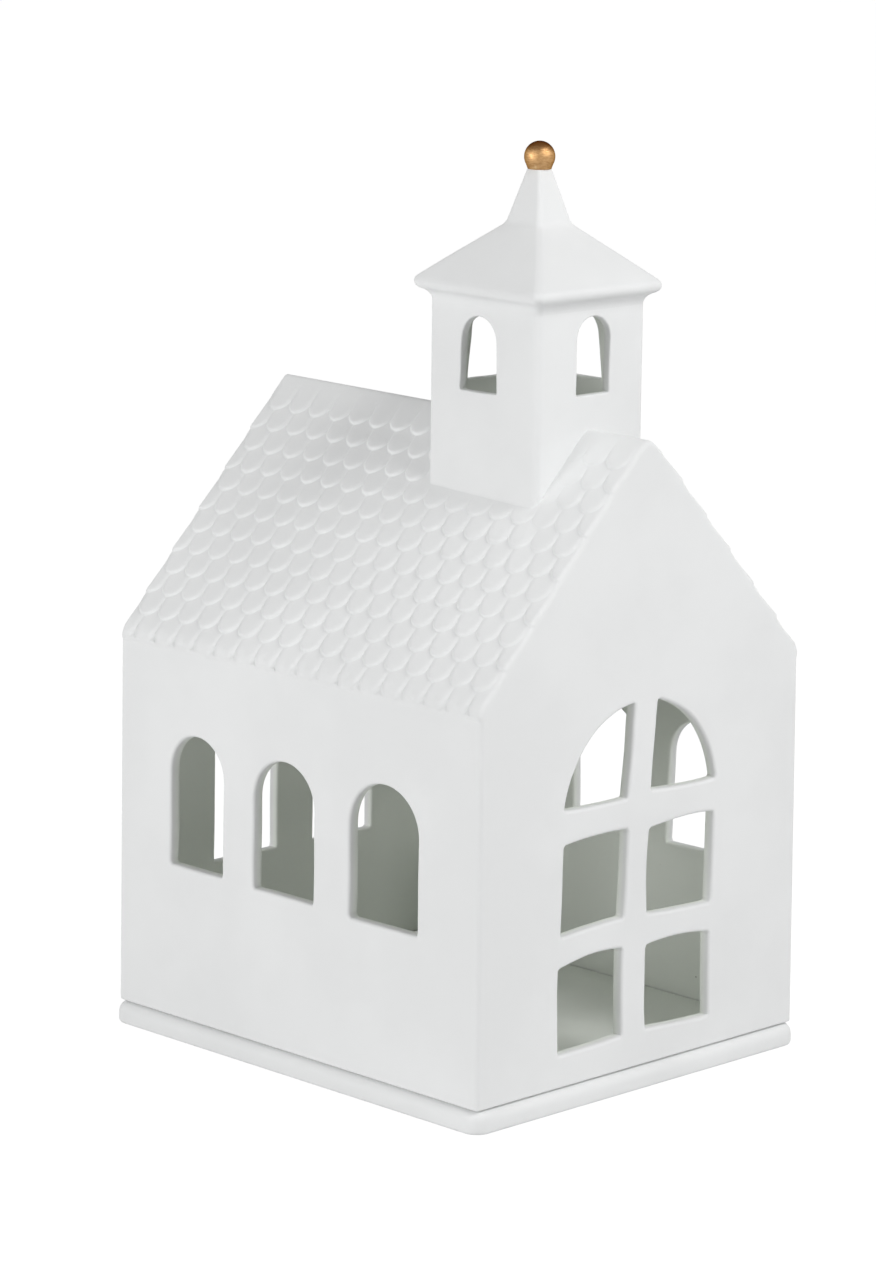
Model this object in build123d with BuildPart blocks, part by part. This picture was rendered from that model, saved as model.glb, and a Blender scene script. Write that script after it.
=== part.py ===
"""Porcelain church that lights up from inside: a slip-cast house that lifts off a flat base plate.

Millimetres. The origin is the middle of the plate's underside, +Z is up, and the gable with the tall
window faces -Y.
"""

import os
from math import atan2, cos, hypot, pi, sin, sqrt, tan

from build123d import *

# Base plate: a flat slab with a low step that keeps the walls from sliding off
plate_thickness = 5.5
plate_overhang = 2.0
plate_corner_radius = 3.5
plate_top_round = 2.2
plate_foot_chamfer = 0.8
step_height = 1.2
step_clearance = 0.8
step_chamfer = 0.5

# House: walls and steep roof, cast in one with an even wall. Heights are above the plate
house_width = 110.0
house_length = 127.0
eave_height = 96.0
ridge_height = 155.5
wall = 3.2
ridge_round = 4.0
eave_round = 6.0
gable_edge_round = 2.0
foot_chamfer = 0.5
cavity_round = 2.0

# Tall front window with glazing bars
front_window_width = 52.6
front_window_sill = 8.6
front_window_top = 91.1
mullion_width = 7.6
bar_width = 7.6
lower_bar_height = 34.0
upper_bar_height = 64.0

# Round-headed windows in the side walls and the back gable
side_window_width = 21.5
side_window_sill = 39.0
side_window_top = 73.0
side_window_pitch = 33.0
side_window_count = 3
side_window_shift = 1.4
back_window_width = 22.4
back_window_sill = 31.5
back_window_top = 73.0
back_window_pitch = 33.2

# Fish-scale shingles, moulded with the roof in overlapping courses
scale_pitch = 7.33
course_pitch = 6.5
first_course = 10.9
scale_lift = 0.8
course_depth = 1.8
scale_margin = 1.2
scale_flats = 3

# Bell tower, a square tube astride the ridge. Heights are above the ridge
tower_width = 36.0
tower_setback = 20.0
tower_wall = 3.0
tower_corner_radius = 2.2
tower_rise = 27.5
tower_window_width = 11.5
tower_window_lift = 6.5
tower_window_height = 19.0
tower_joint_gap = 0.1
vent_ledge = 1.5

# Cap of the tower: a flared four-sided roof drawn up into a small spire. Heights are above the tower's walls
cap_riser = 1.0
cap_overhang = 3.0
cap_bullnose = 1.8
cap_wall = 3.0
kink_width = 10.8
kink_rise = 19.0
kink_blend = 3.0
spire_top_width = 4.1
spire_rise = 31.0
cap_corner_radius = 2.5

# Gilded ball on the spire, flattened where it is seated
ball_radius = 3.75
ball_seat_radius = 1.4

# Tealight on the plate
cup_radius = 19.0
cup_height = 15.0
cup_wall = 0.3
wax_fill = 12.8
wax_clearance = 0.05
sustainer_radius = 7.0
sustainer_thickness = 0.3
wick_radius = 0.8
wick_above_wax = 6.0

# Worked out from the sizes above
house_foot = plate_thickness
eave_z = house_foot + eave_height
ridge_z = house_foot + ridge_height
half_width = house_width / 2
half_length = house_length / 2
roof_pitch = atan2(ridge_height - eave_height, half_width)
slope_length = hypot(half_width, ridge_height - eave_height)
tower_y = -half_length + tower_setback + tower_width / 2
tower_top_z = ridge_z + tower_rise
tower_sill_z = ridge_z + tower_window_lift
joint_width = tower_width + 2 * tower_joint_gap
vent_width = tower_width - 2 * (tower_wall + vent_ledge)
floor_z = plate_thickness + step_height

front_face = Plane.XZ.offset(half_length)
back_face = Plane.XZ.offset(-half_length)
tower_front = Plane(origin=(0, tower_y, 0), x_dir=(1, 0, 0), z_dir=(0, -1, 0))
tower_side = Plane(origin=(0, tower_y, 0), x_dir=(0, 1, 0), z_dir=(1, 0, 0))

os.makedirs("parts", exist_ok=True)


def finish(part, label):
    """Name a finished piece and write it out."""
    part.label = label
    export_step(part, f"parts/{label}.step")


def arched_opening(width, sill, top):
    """Round-headed opening in the open sketch: a rectangle on its sill under a half circle."""
    spring = top - width / 2
    with Locations((0, sill)):
        Rectangle(width, spring - sill, align=(Align.CENTER, Align.MIN))
    with Locations((0, spring)):
        Circle(width / 2)


def gable_outline(inset):
    """Outline of walls and roof in the open sketch, set in by an even wall."""
    half = half_width - inset
    apex = ridge_z - inset / cos(roof_pitch)
    eave = apex - half * tan(roof_pitch)
    foot = house_foot - inset
    with BuildLine() as outline:
        Polyline((-half, foot), (half, foot), (half, eave), (0, apex), (-half, eave), close=True)
    make_face(outline.edges())


# Base plate
with BuildPart() as base_plate:
    with BuildSketch():
        RectangleRounded(
            house_width + 2 * plate_overhang, house_length + 2 * plate_overhang, plate_corner_radius
        )
    extrude(amount=plate_thickness)
    fillet(base_plate.faces().sort_by(Axis.Z)[-1].edges(), plate_top_round)
    chamfer(base_plate.faces().sort_by(Axis.Z)[0].edges(), plate_foot_chamfer)
    with BuildSketch(Plane.XY.offset(plate_thickness)):
        step_inset = 2 * (wall + step_clearance)
        RectangleRounded(house_width - step_inset, house_length - step_inset, cavity_round)
    extrude(amount=step_height)
    chamfer(base_plate.faces().sort_by(Axis.Z)[-1].edges(), step_chamfer)
finish(base_plate.part, "base_plate")


# Outer form of the house before the shingles, also the saddle that the tower sits on
with BuildPart() as house_form:
    with BuildSketch(Plane.XZ) as gable:
        gable_outline(inset=0)
        fillet(gable.vertices().sort_by(Axis.Y)[-1], ridge_round)
        fillet(gable.vertices().group_by(Axis.Y)[1], eave_round)
    extrude(amount=half_length, both=True)
    gable_edges = house_form.edges().filter_by_position(Axis.Z, house_foot + foot_chamfer, ridge_z)
    gable_ends = gable_edges.group_by(Axis.Y)
    fillet(gable_ends[0] + gable_ends[-1], gable_edge_round)
    chamfer(house_form.faces().sort_by(Axis.Z)[0].edges(), foot_chamfer)

# Hollow of the casting
with BuildPart() as house_hollow:
    with BuildSketch(Plane.XZ) as hollow:
        gable_outline(inset=wall)
        fillet(hollow.vertices().filter_by_position(Axis.Y, house_foot, ridge_z), cavity_round)
    extrude(amount=half_length - wall, both=True)

# Shingle courses of one slope. Each course is a thin slab with a scalloped edge, tilted so that it starts
# level with the roof and ends proud of the course below
down_slope = Vector(-cos(roof_pitch), 0, -sin(roof_pitch))
roof_normal = Vector(-sin(roof_pitch), 0, cos(roof_pitch))
roof_peak = Vector(0, 0, ridge_z)
roof_slope = Plane(origin=roof_peak, x_dir=(0, 1, 0), z_dir=roof_normal)
ridge_tangent = ridge_round * tan(roof_pitch)
eave_tangent = eave_round * tan((pi / 2 - roof_pitch) / 2)
scale_radius = scale_pitch / 2
scale_span = house_length - 2 * scale_margin
column_count = round(scale_span / scale_pitch)
column_pitch = scale_span / column_count
course_count = int((slope_length - eave_tangent - first_course) / course_pitch) + 1


def scalloped_edge(course, tip):
    """Points of one course's lower edge; every other course is shifted by half a scale."""
    start = -scale_span / 2 - (column_pitch / 2 if course % 2 == 0 else 0)
    scales = column_count + (1 if course % 2 == 0 else 0)
    turns = [pi * (1 - flat / scale_flats) for flat in range(scale_flats + 1)]
    points = [(start, tip - scale_radius)]
    for scale in range(scales):
        centre = start + (scale + 0.5) * column_pitch
        for turn in turns[1:]:
            across = centre + column_pitch / 2 * cos(turn)
            points.append((across, tip - scale_radius + scale_radius * sin(turn)))
    return points


with BuildPart() as shingles:
    for course in range(course_count):
        tip_distance = first_course + course * course_pitch
        start_distance = max(tip_distance - course_pitch - scale_radius, ridge_tangent)
        run = tip_distance - start_distance
        tilt = atan2(scale_lift, run)
        course_plane = Plane(
            origin=roof_peak + down_slope * start_distance,
            x_dir=(0, 1, 0),
            z_dir=roof_normal * cos(tilt) - down_slope * sin(tilt),
        )
        with BuildSketch(course_plane):
            with BuildLine():
                edge = scalloped_edge(course, hypot(run, scale_lift))
                Polyline((edge[0][0], 0), *edge, (edge[-1][0], 0), close=True)
            make_face()
        extrude(amount=-course_depth)
    with BuildSketch(roof_slope):
        Rectangle(scale_span, 2 * slope_length)
        with Locations((tower_y, 0)):
            Rectangle(joint_width, joint_width / cos(roof_pitch), mode=Mode.SUBTRACT)
    extrude(amount=2 * course_depth, both=True, mode=Mode.INTERSECT)

# House shell
with BuildPart() as house_shell:
    add(house_form.part)
    add(shingles.part)
    add(mirror(shingles.part, about=Plane.YZ, mode=Mode.PRIVATE))
    add(house_hollow.part, mode=Mode.SUBTRACT)
    with BuildSketch(front_face):
        arched_opening(front_window_width, house_foot + front_window_sill, house_foot + front_window_top)
        with Locations((0, house_foot + (front_window_sill + front_window_top) / 2)):
            Rectangle(mullion_width, front_window_top, mode=Mode.SUBTRACT)
        with Locations((0, house_foot + lower_bar_height), (0, house_foot + upper_bar_height)):
            Rectangle(front_window_width, bar_width, mode=Mode.SUBTRACT)
    extrude(amount=2 * wall, both=True, mode=Mode.SUBTRACT)
    with BuildSketch(back_face):
        with GridLocations(back_window_pitch, 0, 2, 1):
            arched_opening(back_window_width, house_foot + back_window_sill, house_foot + back_window_top)
    extrude(amount=2 * wall, both=True, mode=Mode.SUBTRACT)
    with BuildSketch(Plane.YZ):
        with Locations((side_window_shift, 0)):
            with GridLocations(side_window_pitch, 0, side_window_count, 1):
                arched_opening(
                    side_window_width, house_foot + side_window_sill, house_foot + side_window_top
                )
    extrude(amount=house_width, both=True, mode=Mode.SUBTRACT)
    with BuildSketch(Plane.XY.offset(eave_z)):
        with Locations((0, tower_y)):
            Rectangle(vent_width, vent_width)
    extrude(amount=ridge_height, mode=Mode.SUBTRACT)
finish(house_shell.part, "house_shell")


# Bell tower, its foot cut to sit astride the roof
with BuildPart() as bell_tower:
    with BuildSketch(Plane.XY.offset(eave_z)):
        with Locations((0, tower_y)):
            inner_width = tower_width - 2 * tower_wall
            RectangleRounded(tower_width, tower_width, tower_corner_radius)
            Rectangle(inner_width, inner_width, mode=Mode.SUBTRACT)
    extrude(amount=tower_top_z - eave_z)
    add(house_form.part, mode=Mode.SUBTRACT)
    for face_plane in (tower_front, tower_side):
        with BuildSketch(face_plane):
            arched_opening(tower_window_width, tower_sill_z, tower_sill_z + tower_window_height)
        extrude(amount=tower_width, both=True, mode=Mode.SUBTRACT)
finish(bell_tower.part, "bell_tower")


# Tower cap
cap_reach = tower_width / 2 + cap_overhang
cap_cove = cap_overhang - cap_bullnose
cove_z = tower_top_z + cap_riser
eave_nose_z = cove_z + cap_cove + cap_bullnose
kink = Vector(kink_width / 2, tower_top_z + kink_rise)
nose_centre = Vector(cap_reach - cap_bullnose, eave_nose_z)
nose_to_kink = kink - nose_centre
slope_angle = atan2(nose_to_kink.Y, -nose_to_kink.X) - atan2(
    cap_bullnose, sqrt(nose_to_kink.length**2 - cap_bullnose**2)
)
slope_foot = nose_centre + Vector(sin(slope_angle), cos(slope_angle)) * cap_bullnose
spire_z = tower_top_z + spire_rise


def cap_outline():
    """Half of the cap in the open sketch: riser, cove and bullnose eave, slope, spire; then mirrored."""
    nose_low = nose_centre - Vector(0, cap_bullnose)
    with BuildLine() as half:
        Polyline((0, spire_z), (0, tower_top_z), (tower_width / 2, tower_top_z), (tower_width / 2, cove_z))
        RadiusArc((tower_width / 2, cove_z), nose_low, cap_cove)
        ThreePointArc(nose_low, nose_centre + Vector(cap_bullnose, 0), slope_foot)
        FilletPolyline(slope_foot, kink, (spire_top_width / 2, spire_z), radius=kink_blend)
        Line((spire_top_width / 2, spire_z), (0, spire_z))
    make_face(half.edges())
    mirror(about=Plane.YZ)


def cap_hollow_outline():
    """Hollow under the cap in the open sketch, an even wall below the slope."""
    half = tower_width / 2 - tower_wall
    drop = cap_wall / cos(slope_angle)
    shoulder = slope_foot.Y + (slope_foot.X - half) * tan(slope_angle) - drop
    with BuildLine() as outline:
        Polyline(
            (-half, tower_top_z),
            (half, tower_top_z),
            (half, shoulder),
            (0, shoulder + half * tan(slope_angle)),
            (-half, shoulder),
            close=True,
        )
    make_face(outline.edges())


with BuildPart() as cap_hollow:
    with BuildSketch(tower_front):
        cap_hollow_outline()
    extrude(amount=tower_width, both=True)
    with BuildSketch(tower_side):
        cap_hollow_outline()
    extrude(amount=tower_width, both=True, mode=Mode.INTERSECT)

with BuildPart() as tower_cap:
    with BuildSketch(tower_front):
        cap_outline()
    extrude(amount=tower_width, both=True)
    with BuildSketch(tower_side):
        cap_outline()
    extrude(amount=tower_width, both=True, mode=Mode.INTERSECT)
    with BuildSketch(Plane.XY.offset(tower_top_z)):
        with Locations((0, tower_y)):
            RectangleRounded(2 * cap_reach, 2 * cap_reach, cap_corner_radius)
    extrude(amount=spire_z - tower_top_z, mode=Mode.INTERSECT)
    add(cap_hollow.part, mode=Mode.SUBTRACT)
finish(tower_cap.part, "tower_cap")


# Gilded ball
with BuildPart() as finial_ball:
    seat_drop = sqrt(ball_radius**2 - ball_seat_radius**2)
    with Locations((0, tower_y, spire_z + seat_drop)):
        Sphere(ball_radius)
    split(bisect_by=Plane.XY.offset(spire_z), keep=Keep.TOP)
finish(finial_ball.part, "finial_ball")


# Tealight: metal cup, wax, wick and the tin foot that the wick is crimped to
cup_floor = floor_z + cup_wall
wax_top = floor_z + wax_fill
cup_inside = cup_radius - cup_wall
wax_foot = cup_floor + sustainer_thickness

with BuildPart() as tealight_cup:
    with BuildSketch(Plane.XZ):
        with BuildLine():
            Polyline(
                (0, floor_z),
                (cup_radius, floor_z),
                (cup_radius, floor_z + cup_height),
                (cup_inside, floor_z + cup_height),
                (cup_inside, cup_floor),
                (0, cup_floor),
                close=True,
            )
        make_face()
    revolve(axis=Axis.Z)
finish(tealight_cup.part, "tealight_cup")

with BuildPart() as wick_sustainer:
    with BuildSketch(Plane.XY.offset(cup_floor)):
        Circle(sustainer_radius)
    extrude(amount=sustainer_thickness)
finish(wick_sustainer.part, "wick_sustainer")

with BuildPart() as tealight_wick:
    with BuildSketch(Plane.XY.offset(wax_foot)):
        Circle(wick_radius)
    extrude(amount=wax_top + wick_above_wax - wax_foot)
finish(tealight_wick.part, "tealight_wick")

with BuildPart() as tealight_wax:
    with BuildSketch(Plane.XY.offset(wax_foot)):
        Circle(cup_inside - wax_clearance)
        Circle(wick_radius, mode=Mode.SUBTRACT)
    extrude(amount=wax_top - wax_foot)
finish(tealight_wax.part, "tealight_wax")
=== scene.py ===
import bmesh
import bpy
import numpy as np
from mathutils import Matrix, Vector
from mathutils.geometry import delaunay_2d_cdt


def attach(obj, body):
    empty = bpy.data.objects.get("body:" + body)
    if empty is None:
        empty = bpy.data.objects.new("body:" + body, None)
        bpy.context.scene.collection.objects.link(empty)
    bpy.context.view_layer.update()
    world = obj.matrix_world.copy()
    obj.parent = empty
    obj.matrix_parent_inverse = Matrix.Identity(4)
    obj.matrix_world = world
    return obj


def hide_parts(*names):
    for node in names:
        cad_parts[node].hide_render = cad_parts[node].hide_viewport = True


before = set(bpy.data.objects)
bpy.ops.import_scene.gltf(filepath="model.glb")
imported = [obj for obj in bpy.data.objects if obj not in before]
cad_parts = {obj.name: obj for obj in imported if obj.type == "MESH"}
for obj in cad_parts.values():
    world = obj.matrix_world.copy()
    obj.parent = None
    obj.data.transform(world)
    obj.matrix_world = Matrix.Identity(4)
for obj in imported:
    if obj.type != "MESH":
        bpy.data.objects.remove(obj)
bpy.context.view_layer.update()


# Base plate
# The loose slab that the house stands on: slip-cast porcelain, fired matt, its edges wiped soft with a
# sponge before firing. A low step on top, ramped at its edge, fits inside the walls, so that the house
# can't slide off.
MM = 0.001
weld = 0.002
flat_rim = 0.35
crease = np.radians(50)
inside_from = 1.2
inside_over = 1.6
plate_half = np.array([57.0, 65.5])
plate_corner = 4.5
plate_thickness = 5.5
plate_top_round = 2.7
plate_foot_round = 1.0
step_inset = 5.0
step_corner = 2.0
step_top = 6.7
step_lip = 0.2
ramp_width = 9.0
wall = 3.2


def grid_faces(rows, columns, around=False):
    """Quads between neighbours in a grid stored row by row; around joins its last column to the first."""
    left = np.arange(columns if around else columns - 1)
    right = (left + 1) % columns
    row = np.arange(rows - 1)[:, None] * columns
    near, far = row + left, row + right
    return np.stack([near, far, far + columns, near + columns], -1).reshape(-1, 4)


def rounded_square(per_corner, per_side):
    """Unit square with quarter-circle corners, anticlockwise: corner places S and normals N.

    A rectangle of half sizes h with corner radius r is then S * (h - r) + N * r.
    """
    turn = np.linspace(0, np.pi / 2, per_corner) + np.arange(4)[:, None] * np.pi / 2
    normal = np.stack([np.cos(turn), np.sin(turn)], -1)
    sign = np.array([(1, 1), (-1, 1), (-1, -1), (1, -1)], float)[:, None]
    along = (np.arange(1, per_side) / per_side)[None, :, None]
    side = sign * (1 - along) + np.roll(sign, -1, axis=0) * along
    side_normal = np.repeat(normal[:, -1:], per_side - 1, axis=1)
    place = np.concatenate([np.repeat(sign, per_corner, axis=1), side], axis=1)
    return place.reshape(-1, 2), np.concatenate([normal, side_normal], axis=1).reshape(-1, 2)


def raised(plan, height):
    """Points of a plan at one height, or each at its own."""
    return np.column_stack([plan, np.broadcast_to(height, len(plan))])


def at_levels(rings, heights):
    """Sheet through closed rings, each of them level at its height."""
    level = np.broadcast_to(np.asarray(heights, float)[:, None, None], rings[..., :1].shape)
    points = np.concatenate([rings, level], -1)
    return points.reshape(-1, 3), grid_faces(*points.shape[:2], around=True)


def carried(outline, normals, inset, height):
    """A profile carried round an outline: each of its points is a distance inside it and a height."""
    return at_levels(outline - normals * np.asarray(inset, float)[:, None, None], height)


def flat_fill(*loops):
    """Triangles of the flat area inside the first loop and outside the others.

    A triangle is left out where a level line from its middle crosses the others an odd number of times.
    """
    points = np.concatenate(loops)
    starts = np.cumsum([0] + [len(loop) for loop in loops])
    ends = [(np.arange(len(loop)) + 1) % len(loop) + start for loop, start in zip(loops, starts)]
    edges = np.stack([np.arange(len(points)), np.concatenate(ends)], -1)
    triangles = np.array(delaunay_2d_cdt([Vector(p) for p in points], edges.tolist(), [], 1, 1e-6)[2])
    middle = points[triangles].mean(axis=1)[:, None]
    hole = edges[len(loops[0]):]
    tail, head = points[hole[:, 0]], points[hole[:, 1]]
    spans = (tail[:, 1] > middle[..., 1]) != (head[:, 1] > middle[..., 1])
    rise = np.where(head[:, 1] == tail[:, 1], 1.0, head[:, 1] - tail[:, 1])
    crossing = tail[:, 0] + (middle[..., 1] - tail[:, 1]) * (head[:, 0] - tail[:, 0]) / rise
    in_hole = (spans & (middle[..., 0] < crossing)).sum(axis=1) % 2 == 1
    return points, triangles[~in_hole]


def level_fill(height, *loops):
    """The flat fill laid level at a height."""
    corners, triangles = flat_fill(*loops)
    return raised(corners, height), triangles


def quarter(radius, steps):
    """Quarter circle from flat to upright: distances along the flat and up from it."""
    turn = np.linspace(0, np.pi / 2, steps)
    return radius * np.sin(turn), radius * (1 - np.cos(turn))


def piece(name, sheets, finish, body, slot, *nodes):
    """Joins sheets of points in millimetres into one closed mesh in metres that stands for CAD nodes."""
    starts = np.cumsum([0] + [len(points) for points, _ in sheets])
    faces = []
    for (_, sheet_faces), start in zip(sheets, starts):
        faces += (np.asarray(sheet_faces) + start).tolist()
    mesh = bpy.data.meshes.new(name)
    mesh.from_pydata(np.concatenate([points for points, _ in sheets]) * MM, [], faces)
    shape = bmesh.new()
    shape.from_mesh(mesh)
    bmesh.ops.remove_doubles(shape, verts=shape.verts, dist=weld * MM)
    bmesh.ops.recalc_face_normals(shape, faces=shape.faces)
    shape.to_mesh(mesh)
    shape.free()
    mesh.shade_smooth()
    mesh.set_sharp_from_angle(angle=crease)
    mesh.materials.append(finish.material)
    thing = bpy.data.objects.new(name, mesh)
    bpy.context.scene.collection.objects.link(thing)
    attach(thing, body)
    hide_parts(*nodes)
    return thing


def soft_step(value):
    """0 below 0, 1 above 1, and three squares less two cubes of the value between them."""
    value = np.clip(value, 0, 1)
    return value * value * (3 - 2 * value)


def mark_inside(thing, depth):
    """Marks how far a piece's points lie behind its outer face, from 0 outside to 1 on the inner skin."""
    mesh = thing.data
    points = np.empty(len(mesh.vertices) * 3)
    mesh.vertices.foreach_get("co", points)
    behind = depth(points.reshape(-1, 3) / MM)
    mark = mesh.attributes.new("inside", "FLOAT", "POINT")
    mark.data.foreach_set("value", soft_step((behind - inside_from) / inside_over))


class Wire:
    """A socket of a material's nodes. Arithmetic on it adds Math nodes."""

    def __init__(self, socket):
        self.socket = socket

    def math(self, operation, first, second):
        """Adds a Math node to this socket's tree for two wires or numbers."""
        nodes = Nodes(self.socket.id_data)
        return nodes.node("ShaderNodeMath", {"operation": operation}, {0: first, 1: second})

    def __add__(self, other):
        return self.math("ADD", self, other)

    def __sub__(self, other):
        return self.math("SUBTRACT", self, other)

    def __rsub__(self, other):
        return self.math("SUBTRACT", other, self)

    def __mul__(self, other):
        return self.math("MULTIPLY", self, other)

    def __gt__(self, other):
        return self.math("GREATER_THAN", self, other)

    __radd__ = __add__
    __rmul__ = __mul__


class Nodes:
    """The nodes of a material or of the world."""

    def __init__(self, tree):
        self.tree = tree

    def node(self, kind, settings, sockets, output=0):
        """Adds a node, with its settings first and then the values or links of its sockets."""
        made = self.tree.nodes.new(kind)
        for name, value in settings.items():
            setattr(made, name, value)
        for name, value in sockets.items():
            self.feed(made.inputs[name], value)
        return Wire(made.outputs[output])

    def feed(self, socket, value):
        """Links a wire to a socket, or sets its constant."""
        if isinstance(value, Wire):
            self.tree.links.new(value.socket, socket)
        else:
            socket.default_value = value


class Finish(Nodes):
    """A material in the making: its nodes, its surface shader and the object's own coordinates."""

    def __init__(self, name, constants):
        self.material = bpy.data.materials.new(name)
        self.material.use_nodes = True
        super().__init__(self.material.node_tree)
        self.surface = self.tree.nodes["Principled BSDF"]
        for socket, value in constants.items():
            self.set(socket, value)
        self.place = self.node("ShaderNodeTexCoord", {}, {}, "Object")

    def set(self, socket, value):
        """Sets or links a socket of the surface shader."""
        self.feed(self.surface.inputs[socket], value)

    def noise(self, scale, detail=2.0, rough=0.5, place=None):
        """Noise over the object's coordinates, or over another place."""
        sockets = {"Vector": place or self.place, "Scale": scale, "Detail": detail, "Roughness": rough}
        return self.node("ShaderNodeTexNoise", {}, sockets)

    def between(self, low, high, value):
        """0 below low, 1 above high, with a soft step between them."""
        sockets = {"Value": value, "From Min": low, "From Max": high}
        return self.node("ShaderNodeMapRange", {"interpolation_type": "SMOOTHSTEP"}, sockets)

    def blend(self, share, first, second):
        """Mix of two colours."""
        return self.node("ShaderNodeMix", {"data_type": "RGBA"}, {0: share, 6: first, 7: second}, 2)

    def bump(self, height, strength, distance):
        """Relief too fine for the mesh."""
        sockets = {"Height": height, "Strength": strength, "Distance": distance}
        self.set("Normal", self.node("ShaderNodeBump", {}, sockets))


porcelain_white = (0.86, 0.868, 0.868, 1.0)
porcelain_shade = (0.83, 0.838, 0.838, 1.0)
# The inner skin's tone: partly the casting's own greenish inside, partly painted light, for it is lighter
# than the outside to stand in for light through the thin porcelain and the windows.
inside_tone_with_painted_light = (0.947, 0.977, 0.922, 1.0)
speck_brown = (0.22, 0.18, 0.15, 1.0)
speck_core = 0.012
speck_edge = 0.036
speck_rarity = 0.9
speck_cover = 0.6

bisque = Finish("bisque_porcelain", {"IOR": 1.5})
cloud = bisque.noise(scale=28.0, detail=3.0)
grain = bisque.noise(scale=1900.0)
ripple = bisque.noise(scale=90.0)
inside = bisque.node("ShaderNodeAttribute", {"attribute_name": "inside"}, {}, "Fac")
speck_cells = {"Vector": bisque.place, "Scale": 95.0, "Randomness": 1.0}
speck_distance = bisque.node("ShaderNodeTexVoronoi", {}, speck_cells, "Distance")
speck_colour = bisque.node("ShaderNodeTexVoronoi", {}, speck_cells, "Color")
speck_lot = bisque.node("ShaderNodeSeparateColor", {}, {"Color": speck_colour})
speck = (1 - bisque.between(speck_core, speck_edge, speck_distance)) * (speck_lot > speck_rarity)
matt_tone = bisque.blend(bisque.between(0.35, 0.65, cloud), porcelain_white, porcelain_shade)
# Painted light: the inner skin takes the lighter inside tone by the inside mark.
tone_with_lit_inside = bisque.blend(inside, matt_tone, inside_tone_with_painted_light)
bisque.set("Base Color", bisque.blend(speck * speck_cover, tone_with_lit_inside, speck_brown))
bisque.set("Roughness", 0.56 + 0.12 * grain)
bisque.bump(0.25 * grain + 0.75 * ripple, strength=0.12, distance=0.0004)

square_place, square_normal = rounded_square(per_corner=8, per_side=40)
plate_edge = square_place * (plate_half - plate_corner) + square_normal * plate_corner
foot_in, foot_up = quarter(plate_foot_round, steps=6)
top_in, top_up = quarter(plate_top_round, steps=9)
plate_inset = np.concatenate(
    [[plate_foot_round + flat_rim], plate_foot_round - foot_in, top_up, [plate_top_round + flat_rim]]
)
edge_up = plate_thickness - plate_top_round + top_in
plate_height = np.concatenate([[0], foot_up, edge_up, [plate_thickness]])
step_half = plate_half - step_inset
step_edge = square_place * (step_half - step_corner) + square_normal * step_corner
ramp_share = np.linspace(0, 1, 9)
ramp_ring = step_edge * (1 - ramp_width * ramp_share[:, None] / step_half)[:, None]
ramp_level = plate_thickness + step_lip + (step_top - plate_thickness - step_lip) * soft_step(ramp_share)
step_ring = np.concatenate([step_edge[None], ramp_ring])
step_rim = at_levels(step_ring, np.concatenate([[plate_thickness], ramp_level]))
plate_rim = carried(plate_edge, square_normal, plate_inset, plate_height)
plate_columns = len(plate_edge)
plate = piece(
    "base_plate_dressed",
    [
        plate_rim,
        step_rim,
        level_fill(0.0, plate_rim[0][:plate_columns, :2]),
        level_fill(plate_thickness, plate_rim[0][-plate_columns:, :2], step_edge),
        level_fill(step_top, step_rim[0][-plate_columns:, :2]),
    ],
    bisque, "plate", "bisque", "base_plate",
)
# The step's top, under the house, takes the lighter inside tone: painted light where light falls through
# the windows onto the floor.
mark_inside(plate, lambda points: np.where(points[:, 2] > plate_thickness + step_lip / 2, wall, 0.0))


# Tealight
# A standard 38 mm tealight: a thin pressed aluminium cup with fine ribs, filled with wax, and a waxed
# cotton wick that is crimped into a tin foot on the cup's floor.
cup_ribs = 60
rib_depth = 0.12
wax_foot = step_top + 0.6
wax_level = step_top + 12.8
wax_radius = 18.65
wax_hole = 0.86
wax_gap = 0.03
wax_foot_round = 0.5
hole_seam = 4.0
wax_columns = 160
meniscus = 0.5
meniscus_width = 0.5
wax_climb = 0.35
climb_width = 0.7
wick_radius = 0.8
wick_top = wax_level + 6.0
wick_strands = 3
wick_twist = 1.1
strand_groove = 0.2
wick_rows = 60
wick_columns = 36
aluminium = (0.80, 0.80, 0.81, 1.0)
wax_pale = (0.90, 0.88, 0.82, 1.0)
wax_deep = (0.84, 0.82, 0.76, 1.0)
cotton_pale = (0.86, 0.84, 0.77, 1.0)
cotton_shade = (0.70, 0.67, 0.58, 1.0)

cup_metal = Finish("pressed_aluminium", {"Metallic": 1.0, "Base Color": aluminium})
cup_metal.set("Roughness", 0.30 + 0.12 * cup_metal.noise(scale=700.0, detail=3.0))
cup_metal.bump(cup_metal.noise(scale=350.0), strength=0.15, distance=0.0002)

wax_finish = Finish("candle_wax", {"IOR": 1.44})
wax_cloud = wax_finish.noise(scale=160.0, detail=3.0)
wax_finish.set("Base Color", wax_finish.blend(wax_cloud, wax_pale, wax_deep))
wax_finish.set("Roughness", 0.34 + 0.18 * wax_finish.noise(scale=420.0))
wax_finish.bump(wax_cloud, strength=0.2, distance=0.0006)

wick_finish = Finish("waxed_cotton", {"IOR": 1.45})
wick_fibre = wick_finish.noise(scale=2600.0, detail=3.0)
wick_finish.set("Base Color", wick_finish.blend(wick_fibre, cotton_pale, cotton_shade))
wick_finish.set("Roughness", 0.6 + 0.2 * wick_fibre)
wick_finish.bump(wick_fibre, strength=0.4, distance=0.0001)


def turned(radius, height, columns):
    """A profile of radii and heights turned round the upright axis; radii may change round it."""
    turn = np.linspace(0, 2 * np.pi, columns, endpoint=False)
    shape = len(height), columns
    radius = np.broadcast_to(np.asarray(radius, float).reshape(len(height), -1), shape)
    level = np.broadcast_to(np.asarray(height, float)[:, None], shape)
    points = np.stack([radius * np.cos(turn), radius * np.sin(turn), level], -1)
    return points.reshape(-1, 3), grid_faces(len(height), columns, around=True)


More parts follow.
